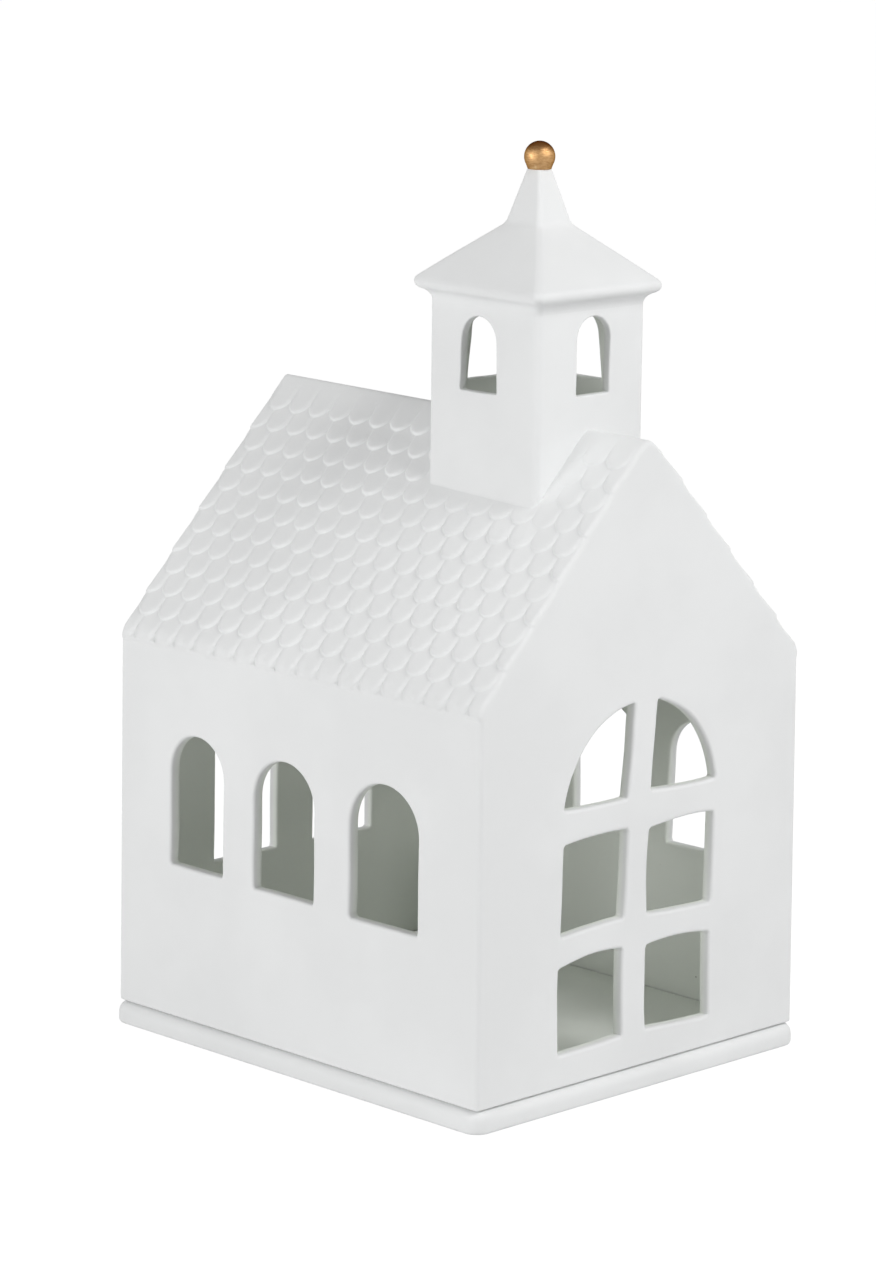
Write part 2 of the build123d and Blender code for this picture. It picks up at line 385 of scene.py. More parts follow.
# Radius, height over the floor and share of the ribs: out along the floor, up, over the rim and back
cup_profile = np.array([
    (0.0, 0.0, 0), (16.5, 0.0, 0), (18.3, 0.0, 0), (18.75, 0.12, 0), (19.0, 0.6, 0), (19.0, 1.2, 1),
    (19.0, 12.9, 1), (19.0, 13.4, 0), (19.0, 14.75, 0), (18.95, 14.93, 0), (18.85, 15.0, 0),
    (18.75, 14.93, 0), (18.7, 14.75, 0), (18.7, 1.0, 0), (18.5, 0.45, 0), (18.1, 0.3, 0),
    (16.5, 0.3, 0), (0.0, 0.3, 0),
])
cup_columns = 4 * cup_ribs
rib_turn = np.linspace(0, 2 * np.pi * cup_ribs, cup_columns, endpoint=False)
rib = rib_depth * (0.5 + 0.5 * np.cos(rib_turn))
piece(
    "tealight_cup_pressed",
    [turned(cup_profile[:, :1] - cup_profile[:, 2:] * rib, step_top + cup_profile[:, 1], cup_columns)],
    cup_metal, "tealight", "cup_metal", "tealight_cup",
)

wax_in = np.array([wax_hole, 1.2, 2.0, 3.5, 6.0, 9.0, 12.0, 15.0, 17.0, 17.8, 18.3, 18.55, 18.62])
rim_rise = meniscus * np.exp((wax_in - wax_radius) / meniscus_width)
wick_rise = wax_climb * np.exp((wax_hole - wax_in) / climb_width)
wax_top = wax_level - meniscus + (rim_rise + wick_rise)
wax_out = [wax_radius - wax_gap, wax_radius - wax_foot_round, wax_hole, wax_hole]
wax_down = [wax_foot + wax_foot_round, wax_foot, wax_foot, wax_foot + hole_seam]
piece(
    "tealight_wax_poured",
    [turned(
        np.concatenate([[wax_hole], wax_in, wax_out]),
        np.concatenate([[wax_foot + hole_seam], wax_top, wax_down]),
        wax_columns,
    )],
    wax_finish, "tealight", "wax", "tealight_wax",
)

# The wick's first two rows and its last three close its ends
wick_turn = np.linspace(0, 2 * np.pi, wick_columns, endpoint=False)
wick_run = np.linspace(wax_foot + 0.2, wick_top - 0.4, wick_rows)
wick_z = np.concatenate([[wax_foot] * 2, wick_run, [wick_top - 0.1, wick_top, wick_top]])
wick_girth = np.concatenate([[0, 0.8], np.ones(wick_rows), [0.8, 0.5, 0]])[:, None]
strand = np.abs(np.cos(wick_strands / 2 * (wick_turn + wick_twist * wick_z[:, None])))
piece(
    "tealight_wick_twisted",
    [turned(
        wick_girth * wick_radius * (1 - strand_groove + strand_groove * strand), wick_z, wick_columns
    )],
    wick_finish, "tealight", "wick", "tealight_wick",
)
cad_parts["wick_sustainer"].data.materials.clear()
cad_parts["wick_sustainer"].data.materials.append(cup_metal.material)


# House shell
# Walls and steep roof are one slip casting with an even wall, open below. The fish-scale shingles are in
# the mould, and the windows are cut out by hand while the clay is leather-hard, so no two are the same.
foot_z = 5.5
half_width = 55.0
half_length = 63.5
eave_z = 101.5
ridge_z = 161.0
ridge_round = 4.0
eave_round = 6.0
verge_round = 1.1
line_gap = 0.1
end_gap = 0.01
ridge_drops = (1.9, 0.55)
ridge_reach = 45.0
draft_foot = 0.012
draft_eave = 0.0025
foot_round = 0.8
slit = 0.3
slit_depth = 1.9
sole_round = 0.2
sole_rise = 0.85
room_round = 2.0
room_corner = 1.2
scale_span = 124.6
scale_columns = 17
course_pitch = 6.43
first_course = 11.9
last_drop = 0.4
course_count = 12
scale_lift = 0.8
uneven_lift = 0.13
uneven_slip = 0.16
lip_width = 0.9
lip_start = 0.15
wedge_limit = 1.2
seam_keep = 0.45
seam_fade = 1.5
eave_keep = 81.3
eave_fade = 2.2
pit_close = 0.8
eave_pass = 0.6
ridge_start = 1.2
ridge_fade = 3.0
tower_centre = np.array([0.97, -24.77])
tower_half = np.array([18.0, 19.1])
askew = np.radians(-2.0)
slip_wipe = 3.0
front_wipe = 9.0
wipe_change = 4.0

pitch = np.arctan2(ridge_z - eave_z, half_width)
column_pitch = scale_span / scale_columns
scale_radius = column_pitch / 2
ridge_tangent = ridge_round * np.tan(pitch)
course_tip = first_course + course_pitch * np.arange(course_count)
course_tip[-1] += last_drop
hand = np.random.default_rng(24)
scale_thickness = 1 + uneven_lift * hand.uniform(-1, 1, (course_count, scale_columns + 2))
scale_slip = uneven_slip * hand.uniform(-1, 1, (course_count, scale_columns + 2))


class GableCurve:
    """Half of the gable's outline from the ridge's top down to the foot, by the length run along it.

    It is a ridge arc, a straight slope, an eave arc and an upright wall; turn is the angle of its normal
    from upright.
    """

    def __init__(self, half, apex, ridge_radius, eave_radius, foot):
        eave = apex - half * np.tan(pitch)
        ridge_tangent = ridge_radius * np.tan(pitch)
        eave_tangent = eave_radius * np.tan((np.pi / 2 - pitch) / 2)
        slope = half / np.cos(pitch) - ridge_tangent - eave_tangent
        ridge_arc, eave_arc = ridge_radius * pitch, eave_radius * (np.pi / 2 - pitch)
        self.stations = np.cumsum([0, ridge_arc, slope, eave_arc, eave - eave_tangent - foot])
        self.slope_start, self.slope_end, self.wall_start, self.foot = self.stations[1:]
        self.radii = ridge_radius, eave_radius
        self.ridge_centre = np.array([0, apex - ridge_radius / np.cos(pitch)])
        self.eave_centre = np.array([half - eave_radius, eave - eave_tangent])

    def at(self, run):
        """Points and normals at lengths along the curve."""
        run = np.asarray(run, float)
        turn = np.interp(run, self.stations, [0, pitch, pitch, np.pi / 2, np.pi / 2])
        normal = np.stack([np.sin(turn), np.cos(turn)], -1)
        down = np.stack([np.cos(turn), -np.sin(turn)], -1)
        ridge = self.ridge_centre + self.radii[0] * normal
        eave = self.eave_centre + self.radii[1] * normal
        past_ridge = np.clip(run - self.slope_start, 0, None)[..., None] * down
        past_eave = np.clip(run - self.wall_start, 0, None)[..., None] * down
        upper = (run < self.slope_end)[..., None]
        return np.where(upper, ridge + past_ridge, eave + past_eave), normal


def roof_height(x, y):
    """Height of the plain roof: the ridge's less the root of the slope's fall squared and a drop squared.

    The drop rounds the ridge, more at the front than at the back, and dies out towards the eaves.
    """
    drop = np.interp(y, (-half_length, half_length), ridge_drops)
    drop = drop * np.clip(1 - np.abs(x) / ridge_reach, 0, 1)
    return ridge_z - np.hypot(x * np.tan(pitch), drop)


def draft(z):
    """How much wider the drying casting is at a height than the plain form: most at the foot."""
    return 1 + np.interp(z, (foot_z, eave_z), (draft_foot, draft_eave))


def scale_place(course, along):
    """Which scale of a course lies at a place along the ridge, and how far off its middle line."""
    start = -scale_span / 2 - scale_radius * (course % 2)
    place = (along - start) / column_pitch
    index = np.clip(np.floor(place), 0, scale_columns + 1).astype(int)
    return index, np.abs(place - np.floor(place) - 0.5) * column_pitch


def tip_line(course, along):
    """Lower edge of a course, as distances down the slope: a row of half circles."""
    index, off = scale_place(course, along)
    tip = course_tip[course] + scale_slip[course, index]
    return tip - scale_radius + np.sqrt(np.clip(scale_radius**2 - off**2, 0, None))


def from_tower(x, y):
    """Distance outside the tower's walls in plan, in its own axes, which are a little askew."""
    across, along = x - tower_centre[0], y - tower_centre[1]
    own_x = across * np.cos(askew) + along * np.sin(askew)
    own_y = along * np.cos(askew) - across * np.sin(askew)
    return np.maximum(np.abs(own_x) - tower_half[0], np.abs(own_y) - tower_half[1])


def shingle_height(down, along):
    """Height of the shingles over the plain roof.

    Each course is a wedge that thickens down to its scalloped edge, where it drops over the lip's width.
    The highest course at a place is the one that shows. The last course fades into the wall, and its
    seams end there in small pits.
    """
    height = np.zeros(np.broadcast(down, along).shape)
    for course in range(course_count):
        index, off = scale_place(course, along)
        tip = course_tip[course] + scale_slip[course, index]
        run = min(course_pitch + scale_radius, tip.mean() - ridge_start)
        past = down - (tip - scale_radius)
        inside = scale_radius - np.where(past > 0, np.hypot(off, past), off)
        edge = soft_step((inside + lip_start) / lip_width)
        seam = seam_keep * soft_step(-past / seam_fade)
        swell = np.clip(1 - (tip - down) / run, 0, wedge_limit)
        wedge = scale_lift * scale_thickness[course, index] * swell
        if course == course_count - 1:
            edge = np.maximum(edge, soft_step((down - eave_keep) / pit_close))
            wedge = wedge * (1 - soft_step((down - eave_keep) / eave_fade))
        height = np.maximum(height, wedge * np.maximum(edge, seam))
    return height * soft_step((down - ridge_start) / ridge_fade)


def edged(end, radius, steps, lines):
    """Columns of a skin from gable to gable: rim, rounded edge, the given lines, rounded edge and rim.

    Returns their turn towards the gable, their inset below the skin and their place along the ridge.
    """
    turn = np.concatenate([[np.pi / 2], np.linspace(np.pi / 2, 0, steps), [0]])
    rim = flat_rim * (np.arange(len(turn)) == 0)
    inset = radius * (1 - np.cos(turn)) + rim
    along = -end + radius * (1 - np.sin(turn)) + rim[::-1]
    plain = np.zeros(len(lines))
    return (
        np.concatenate([turn, plain, turn[::-1]]),
        np.concatenate([inset, plain, inset[::-1]]),
        np.concatenate([along, lines, -along[::-1]]),
    )


# Columns of the outer skin, with close lines at the scales' seams
seam_lines = -scale_span / 2 + np.arange(2 * scale_columns + 1)[:, None] * scale_radius
seam_steps = np.array([0, 0.15, 0.42, 1.0, 1.8324, 2.665, 3.245, 3.515])
fine_lines = np.unique((seam_lines + seam_steps).round(4))
skin_end = half_length - verge_round - flat_rim
fine_lines = fine_lines[np.abs(fine_lines) < skin_end - line_gap]
skin_turn, skin_inset, skin_along = edged(half_length, verge_round, steps=6, lines=fine_lines)

# Rows of the outer skin: the ridge, then each course with close rows at its lip, and the eave
outer = GableCurve(half_width, ridge_z, ridge_round, eave_round, foot_z + foot_round + flat_rim)
to_run = outer.slope_start - ridge_tangent
lip_rows = np.array([-0.95, -0.6, -0.35, -0.1, 0.16])[:, None]
relief_end = scale_span / 2 - end_gap
relief_along = np.clip(skin_along, -relief_end, relief_end)
rows = [np.repeat(np.linspace(0, outer.slope_start, 7)[:, None], len(skin_along), axis=1)]
above = np.full(len(skin_along), ridge_tangent)
for course in range(course_count):
    tips = tip_line(course, relief_along)
    share = np.linspace(0, 1, 6 if course == 0 else 5)[1:-1, None]
    rows.append(above + share * (tips + lip_rows[0] - above) + to_run)
    rows.append(tips + lip_rows + to_run)
    above = tips + lip_rows[-1]
eave_end = outer.wall_start + eave_pass
eave_share = np.linspace(0, 1, 9)[1:-1, None]
rows.append(above + to_run + eave_share * (eave_end - above - to_run))
last_rows = np.array([eave_end, eave_end + flat_rim, outer.foot])
rows.append(np.repeat(last_rows[:, None], len(skin_along), axis=1))
skin_run = np.concatenate(rows)
skin_point, skin_normal = outer.at(skin_run)
on_slope = skin_run <= outer.slope_end
skin_point[..., 1] = np.where(on_slope, roof_height(skin_point[..., 0], skin_along), skin_point[..., 1])
lift = shingle_height(skin_run - to_run, relief_along) * np.cos(skin_turn)
wiped = slip_wipe + front_wipe * soft_step((tower_centre[1] - tower_half[1] - skin_along) / wipe_change)
lift *= soft_step(from_tower(-skin_point[..., 0], skin_along) / wiped)
skin_point = skin_point + skin_normal * (lift - skin_inset)[..., None]
skin = np.stack([skin_point[..., 0], np.broadcast_to(skin_along, lift.shape), skin_point[..., 1]], -1)


def skin_faces(row_count, column_count, first_flat, last_flat):
    """Quads of a skin, without its lowest row between two columns, where the flat wall goes."""
    faces = grid_faces(row_count, column_count)
    row, column = np.divmod(np.arange(len(faces)), column_count - 1)
    return faces[~((row == row_count - 2) & (column >= first_flat) & (column < last_flat))]


def both_sides(points, faces):
    """A sheet of the right half with its mirror image."""
    return [(points.copy(), faces), (points * np.array([-1, 1, 1]), faces)]


def cut_outline(corners, bows, samples=120, blade=0.28, waver=0.12, seed=1):
    """Outline of an opening cut by hand, with its outward normals.

    Its sides run from corner to corner, each bowed out by an arc of the given height. The corners are
    softened by a blade's width, and a slow waver goes round it.
    """
    per_side, per_loop = 200, 1024
    flattest = 1e-4
    waves = range(2, 7)
    corners = np.asarray(corners, float)
    chord = np.roll(corners, -1, axis=0) - corners
    length = np.linalg.norm(chord, axis=1)
    bow = np.where(np.abs(bows) < flattest, flattest, bows)
    half_turn = 2 * np.arctan(2 * bow / length)
    turn = np.linspace(-1, 1, per_side, endpoint=False)[None] * half_turn[:, None]
    along = (np.sin(turn) / np.sin(half_turn)[:, None] + 1) / 2
    out = (np.cos(turn) - np.cos(half_turn)[:, None]) / np.sin(half_turn)[:, None] * length[:, None] / 2
    outward = np.stack([chord[:, 1], -chord[:, 0]], -1) / length[:, None]
    path = corners[:, None] + along[..., None] * chord[:, None] + out[..., None] * outward[:, None]
    path = path.reshape(-1, 2)
    step = np.linalg.norm(np.roll(path, -1, axis=0) - path, axis=1)
    travelled = np.concatenate([[0], np.cumsum(step)])
    even = np.linspace(0, travelled[-1], per_loop, endpoint=False)
    looped = np.concatenate([path, path[:1]])
    line = np.interp(even, travelled, looped[:, 0]) + 1j * np.interp(even, travelled, looped[:, 1])
    wave = np.fft.fftfreq(per_loop, travelled[-1] / per_loop) * 2 * np.pi
    spectrum = np.fft.fft(line) * np.exp(-0.5 * (wave * blade) ** 2)
    smooth = np.fft.ifft(spectrum)
    tangent = np.fft.ifft(1j * wave * spectrum)
    normal = -1j * tangent / np.abs(tangent)
    phases = np.random.default_rng(seed).uniform(0, 2 * np.pi, len(waves))
    wobble = sum(
        np.cos(k * even / travelled[-1] * 2 * np.pi + phase) / k for k, phase in zip(waves, phases)
    )
    smooth = smooth + normal * wobble * waver
    picked = np.arange(samples) * per_loop // samples
    line, facing = smooth[picked], normal[picked]
    return np.stack([line.real, line.imag], -1), np.stack([facing.real, facing.imag], -1)


def arched(left, right, sill, top, lean=0.0, **cut):
    """Round-headed opening between two sides, from its sill to the top of its half circle."""
    radius = (right - left) / 2
    spring = top - radius
    corners = [(left, sill), (right, sill), (right - lean, spring), (left + lean, spring)]
    return cut_outline(corners, [0, 0, radius - lean, 0], **cut)


def reveal(outline, normals, place, thickness, outside, within=0.6):
    """Edge of an opening through a wall: a rim, a rounded edge, the cut face, the inner edge and rim."""
    in_turn, out_turn = quarter(outside, steps=5)
    far_in, far_out = quarter(within, steps=5)
    spread = np.concatenate([[outside + flat_rim], outside - in_turn, far_out, [within + flat_rim]])
    depth = np.concatenate([[0], out_turn, thickness - within + far_in, [thickness]])
    rings = outline + normals * spread[:, None, None]
    points = place(rings.reshape(-1, 2), np.repeat(depth, len(outline)))
    sheet = points, grid_faces(len(spread), len(outline), around=True)
    return sheet, rings[0], rings[-1]


def on_wall(across, facing, offset):
    """Maps places on a wall and depths behind its face to space."""
    across, facing = np.array(across, float), np.array(facing, float)

    def place(points, depth):
        behind = np.asarray(offset - depth, float).reshape(-1, 1)
        return points[:, :1] * across + points[:, 1:] * np.array([0, 0, 1.0]) + behind * facing

    return place


def walled(place, thickness, outer_loop, inner_loop, openings, outside=0.8):
    """Both faces of a flat wall with the openings cut through it."""
    cuts = [reveal(outline, normals, place, thickness, outside) for outline, normals in openings]
    sheets = [sheet for sheet, _, _ in cuts]
    for loop, depth, ring in ((outer_loop, 0.0, 1), (inner_loop, thickness, 2)):
        corners, triangles = flat_fill(loop, *[cut[ring] for cut in cuts])
        sheets.append((place(corners, np.full(len(corners), depth)), triangles))
    return sheets


# Inner skin of the casting
room_foot_z = foot_z + sole_rise
inner = GableCurve(half_width - wall, ridge_z - wall / np.cos(pitch), room_round, room_round, room_foot_z)
room_turn, room_inset, room_along = edged(half_length - wall, room_corner, steps=5, lines=[])
room_run = np.concatenate([
    np.linspace(0, inner.slope_start, 5), [inner.slope_start + flat_rim, inner.slope_end - flat_rim],
    np.linspace(inner.slope_end, inner.wall_start, 5), [inner.wall_start + flat_rim, inner.foot],
])
room_point, room_normal = inner.at(np.repeat(room_run[:, None], len(room_along), axis=1))
room_across, room_up = np.moveaxis(room_point - room_normal * room_inset[:, None], -1, 0)
room = np.stack([room_across, np.broadcast_to(room_along, room_up.shape), room_up], -1)


def wall_loop(sheet, first, last):
    """Outline of the flat side wall left open in a skin, along and up."""
    low, high = sheet[-1, first:last + 1, 1:], sheet[-2, first:last + 1, 1:]
    return np.concatenate([low, high[::-1]])


def gable_loop(sheet, column, bottom_count):
    """Outline of a gable, across and up: the skin's edge on both sides and a straight foot."""
    edge = sheet[:, column][:, [0, 2]]
    low = np.linspace(edge[-1] * np.array([-1, 1]), edge[-1], bottom_count)[1:-1]
    return np.concatenate([edge[::-1], edge[1:] * np.array([-1, 1]), low])


def plan_path(sheet, turn, bottom_count):
    """Plan of a skin at its lowest row, right side first, with its outward normals."""
    edge = sheet[-1, :, :2]
    sign = np.sign(edge[:, 1])
    normal = np.stack([np.cos(turn), sign * np.sin(turn)], -1)
    back = np.linspace(edge[-1], edge[-1] * np.array([-1, 1]), bottom_count)[1:-1]
    front = np.linspace(edge[0] * np.array([-1, 1]), edge[0], bottom_count)[1:-1]
    flip = np.array([-1, 1])
    path = np.concatenate([edge, back, edge[::-1] * flip, front])
    facing = np.concatenate([
        normal, np.tile([0, 1.0], (len(back), 1)),
        normal[::-1] * flip, np.tile([0, -1.0], (len(front), 1)),
    ])
    return path, facing


foot_points = 22
foot_in, foot_up = quarter(foot_round - slit, steps=5)
skin_path, skin_facing = plan_path(skin, skin_turn, foot_points)
outer_foot, _ = carried(
    skin_path, skin_facing,
    np.concatenate([[0], foot_up, [foot_round]]),
    np.concatenate([[foot_z + foot_round + flat_rim], foot_z + foot_round - foot_in, [foot_z + slit]]),
)
slit_path = skin_path * (1 - slit_depth / np.array([half_width, half_length]))
foot_rows = np.concatenate([outer_foot, raised(slit_path, foot_z + slit), raised(slit_path, foot_z)])
room_path, room_facing = plan_path(room, room_turn, foot_points)
sole_in, sole_up = quarter(sole_round, steps=4)
inner_foot = carried(
    room_path, room_facing,
    -np.concatenate([[0], sole_up, [2 * sole_round]]),
    np.concatenate([[room_foot_z], foot_z + sole_round - sole_in, [foot_z]]),
)
sole = level_fill(foot_z, slit_path, inner_foot[0][-len(room_path):, :2])

# Openings, as corners and bows in millimetres on their walls
front_panes = [
    cut_outline(np.array(corners) + (-0.45, foot_z), bows, seed=seed)
    for seed, (corners, bows) in enumerate((
        ([(-27.5, 8.4), (-5.7, 8.9), (-6.1, 30.8), (-27.8, 29.6)], [0.1, -0.3, 1.1, 0.1]),
        ([(2.6, 9.1), (24.8, 8.0), (24.5, 29.4), (2.3, 29.9)], [0.2, -0.2, 0.9, 0.3]),
        ([(-27.0, 37.4), (-5.6, 38.2), (-4.7, 60.0), (-26.4, 59.5)], [-0.3, 0.1, 0.5, 0.1]),
        ([(2.5, 37.9), (25.0, 36.8), (25.6, 59.4), (2.9, 59.0)], [0.2, 0.1, 0.6, 0.5]),
        ([(-26.5, 68.0), (-4.8, 67.6), (-2.7, 90.6)], [0.1, 0.1, 5.7]),
        ([(3.2, 68.3), (26.1, 67.8), (5.4, 90.4)], [0.2, 4.8, 0.1]),
    ), start=11)
]
left_windows = [
    arched(25.4, 44.5, foot_z + 39.4, foot_z + 73.0, seed=21),
    arched(-7.0, 14.1, foot_z + 39.0, foot_z + 72.4, seed=22),
    arched(-42.8, -19.6, foot_z + 38.6, foot_z + 73.1, seed=23),
]
right_windows = [
    arched(24.6, 45.4, foot_z + 39.2, foot_z + 73.0, seed=31),
    arched(-12.6, 9.4, foot_z + 38.9, foot_z + 72.8, seed=32),
    arched(-44.5, -23.0, foot_z + 39.4, foot_z + 73.4, lean=0.9, seed=33),
]
back_windows = [
    arched(-25.9, -4.7, foot_z + 31.6, foot_z + 73.0, seed=41),
    arched(8.0, 28.8, foot_z + 31.3, foot_z + 72.8, seed=42),
]

# First and last columns of the flat side walls, in the inner and the outer skin
room_first = len(room_along) // 2 - 1
room_last = room_first + 1
flat_first = (len(skin_along) - len(fine_lines)) // 2 - 1
flat_last = len(skin_along) - flat_first - 1
foot_faces = grid_faces(len(foot_rows) // len(slit_path), len(slit_path), around=True)
shell_sheets = (
    both_sides(skin.reshape(-1, 3), skin_faces(*lift.shape, flat_first, flat_last))
    + both_sides(room.reshape(-1, 3), skin_faces(*room.shape[:2], room_first, room_last))
    + [(foot_rows, foot_faces), inner_foot, sole]
)
for facing, openings in ((-1, left_windows), (1, right_windows)):
    shell_sheets += walled(
        on_wall((0, 1, 0), (facing, 0, 0), half_width), wall,
        wall_loop(skin, flat_first, flat_last), wall_loop(room, room_first, room_last), openings,
    )
for facing, column, openings in ((-1, 0, front_panes), (1, -1, back_windows)):
    shell_sheets += walled(
        on_wall((1, 0, 0), (0, facing, 0), half_length), wall,
        gable_loop(skin, column, foot_points), gable_loop(room, column, foot_points), openings,
    )
for points, _ in shell_sheets:
    points[:, :2] *= draft(points[:, 2:])
shell = piece("house_shell_cast", shell_sheets, bisque, "house", "bisque", "house_shell")


# Warm-air hole under the tower, cut through the roof before the tower is luted on
vent_half = 13.5
vent_y = -25.5
vent_low = 138.0
vent_high = 172.0


def cut_square(thing, half, centre_y, low, high):
    """Cuts a square hole down through a piece."""
    block = bpy.data.meshes.new("cutter")
    shape = bmesh.new()
    bmesh.ops.create_cube(shape, size=1.0)
    bmesh.ops.scale(shape, vec=(2 * half * MM, 2 * half * MM, (high - low) * MM), verts=shape.verts)
    bmesh.ops.translate(shape, vec=(0, centre_y * MM, (low + high) / 2 * MM), verts=shape.verts)
    shape.to_mesh(block)
    shape.free()
    cutter = bpy.data.objects.new("cutter", block)
    bpy.context.scene.collection.objects.link(cutter)
    cut = thing.modifiers.new("hole", "BOOLEAN")
    cut.operation = "DIFFERENCE"
    cut.solver = "EXACT"
    cut.object = cutter
    made = bpy.data.meshes.new_from_object(thing.evaluated_get(bpy.context.evaluated_depsgraph_get()))
    thing.modifiers.clear()
    made.name = thing.name
    made.set_sharp_from_angle(angle=crease)
    thing.data = made
    bpy.data.objects.remove(cutter)


def behind_house(points):
    """Distance behind the plain walls and roof."""
    z = points[:, 2]
    x, y = np.abs(points[:, :2]).T / draft(z)
    roof = (ridge_z - z) * np.cos(pitch) - x * np.sin(pitch)
    return np.minimum(np.minimum(half_width - x, half_length - y), roof)


cut_square(shell, vent_half, vent_y, vent_low, vent_high)
mark_inside(shell, behind_house)


# Bell tower
# A tube of nearly square plan, pressed from slabs and luted astride the ridge with slip, a little askew.
# The slip leaves a soft fillet along its foot. Each face has a small round-headed opening cut by hand.
tower_corner = 2.0
tower_wall = 2.5
tower_inner_corner = 0.9
tower_top = 188.0
side_fillet = 0.8
front_fillet = 0.3
slip_sink = 0.25
tower_cut_round = 0.4


def turned_askew(points):
    """Points of the tower turned about its upright axis, because it was luted on by eye."""
    across, along = np.moveaxis(points[..., :2] - tower_centre, -1, 0)
    turned_points = points.copy()
    turned_points[..., 0] = across * np.cos(askew) - along * np.sin(askew) + tower_centre[0]
    turned_points[..., 1] = across * np.sin(askew) + along * np.cos(askew) + tower_centre[1]
    return turned_points


tower_per_corner, tower_per_side = 7, 24
tower_place, tower_normal = rounded_square(tower_per_corner, tower_per_side)
tower_plan = tower_place * (tower_half - tower_corner) + tower_normal * tower_corner + tower_centre
room_half = tower_half - tower_wall
room_plan = tower_place * (room_half - tower_inner_corner) + tower_normal * tower_inner_corner
tower_room = room_plan + tower_centre
fillet = front_fillet + (side_fillet - front_fillet) * tower_normal[:, :1] ** 2
fillet_share = np.array([0, 0.05, 0.16, 0.35, 0.6, 1.0, 1.4])[:, None, None]
rise = fillet * fillet_share
spread = fillet * (1 - np.sqrt(1 - np.clip(1 - fillet_share, 0, 1) ** 2))
foot_ring = tower_plan + tower_normal * spread
foot_level = roof_height(*np.moveaxis(turned_askew(foot_ring), -1, 0)) - slip_sink + rise[..., 0]
tower_rows = np.concatenate([foot_ring, foot_level[..., None]], -1)
tower_rim = raised(tower_plan, tower_top)
tower_skin = np.concatenate([tower_rows, tower_rim[None]])
room_rim = raised(tower_room, tower_top)
room_foot = raised(tower_room, roof_height(*turned_askew(tower_room).T) - slip_sink)
tower_inside = np.stack([room_foot, room_rim])
per_face = tower_per_corner + tower_per_side - 1


def band(first, second):
    """Quads between two closed rings."""
    return np.concatenate([first, second]), grid_faces(2, len(first), around=True)


def tower_faces(rows):
    """Quads of a tower skin, without its top row between the corners, where the flat faces go."""
    count = 4 * per_face
    faces = grid_faces(rows, count, around=True)
    row, column = np.divmod(np.arange(len(faces)), count)
    within = column % per_face
    return faces[~((row == rows - 2) & (within >= tower_per_corner) & (within < per_face - 1))]


tower_right, tower_back = tower_centre + tower_half
tower_left, tower_front = tower_half - tower_centre
tower_openings = {
    "back": ((1, 0, 0), (0, 1, 0), tower_back, 0, arched(-5.9, 6.4, 167.8, 186.0, lean=1.2, seed=51)),
    "left": ((0, 1, 0), (-1, 0, 0), tower_left, 1, arched(-29.9, -16.9, 167.6, 186.2, lean=0.5, seed=52)),
    "front": ((1, 0, 0), (0, -1, 0), tower_front, 2, arched(-3.9, 6.9, 167.7, 186.5, seed=53)),
    "right": ((0, 1, 0), (1, 0, 0), tower_right, 3, arched(-31.2, -16.5, 168.4, 186.3, lean=1.4, seed=54)),
}
tower_sheets = [
    (tower_skin.reshape(-1, 3), tower_faces(len(tower_skin))),
    (tower_inside.reshape(-1, 3), tower_faces(len(tower_inside))),
    band(tower_rim, room_rim),
    band(tower_rows[0], room_foot),
]
for across, facing, offset, quarter_turn, opening in tower_openings.values():
    span = np.arange(tower_per_corner, per_face) + quarter_turn * per_face
    axes = [int(np.argmax(np.abs(across))), 2]
    loops = [
        np.concatenate([sheet[-2, span][:, axes], sheet[-1, span][::-1][:, axes]])
        for sheet in (tower_skin, tower_inside)
    ]
    tower_sheets += walled(on_wall(across, facing, offset), tower_wall, *loops, [opening], tower_cut_round)
tower_sheets = [(turned_askew(points), faces) for points, faces in tower_sheets]
tower = piece("bell_tower_luted", tower_sheets, bisque, "house", "bisque", "bell_tower")
mark_inside(tower, lambda points: -from_tower(points[:, 0], points[:, 1]))


# Tower cap
# The tower's roof: a flared four-sided cap with a rolled eave, drawn up into a small spire. It is cast
# hollow and luted onto the tower, so the cove under its eave runs smoothly into the walls.
cap_bottom = tower_top
cove_radius = 3.0
underside = 0.4
eave_lean = np.radians(65)
nose_radius = 1.85
kink = np.array([5.75, 207.0])
spire_top_half = 2.25
spire_top = 220.0
cap_wall = 3.0
bend_below = 0.06
bend_above = 0.09
hollow_middle = 7.5
hip_levels = [cap_bottom, 192.5, 196.0, 206.0, 219.5]
hip_radii = [2.0, 2.1, 1.8, 1.4, 0.9]
hip_limit = 0.95

cove_turn = np.linspace(0, eave_lean, 7)
cove_rows = cove_radius * np.stack([1 - np.cos(cove_turn), np.sin(cove_turn)], -1)
cove_rows = cove_rows + (tower_half[0], cap_bottom)
outward = np.array([np.sin(eave_lean), np.cos(eave_lean)])
nose_centre = cove_rows[-1] + underside * outward + nose_radius * np.array([-outward[1], outward[0]])
to_kink = kink - nose_centre
slope_turn = np.arctan2(to_kink[1], -to_kink[0]) - np.arcsin(nose_radius / np.hypot(*to_kink))
nose_turn = np.linspace(-eave_lean, np.pi / 2 - slope_turn, 11)
nose_rows = nose_centre + nose_radius * np.stack([np.cos(nose_turn), np.sin(nose_turn)], -1)
slope_foot = nose_rows[-1]
spire_tip = np.array([spire_top_half, spire_top])
bend = np.linspace(0, 1, 13)[:, None]
bend_from = kink + (slope_foot - kink) * bend_below
bend_to = kink + (spire_tip - kink) * bend_above
bend_rows = bend_from * (1 - bend) ** 2 + 2 * kink * bend * (1 - bend) + bend_to * bend**2
slope_rows = slope_foot + (bend_from - slope_foot) * np.linspace(0, 1, 7)[1:-1, None]
spire_rows = bend_to + (spire_tip - bend_to) * np.linspace(0, 1, 7)[1:, None]
fall = np.tan(slope_turn)
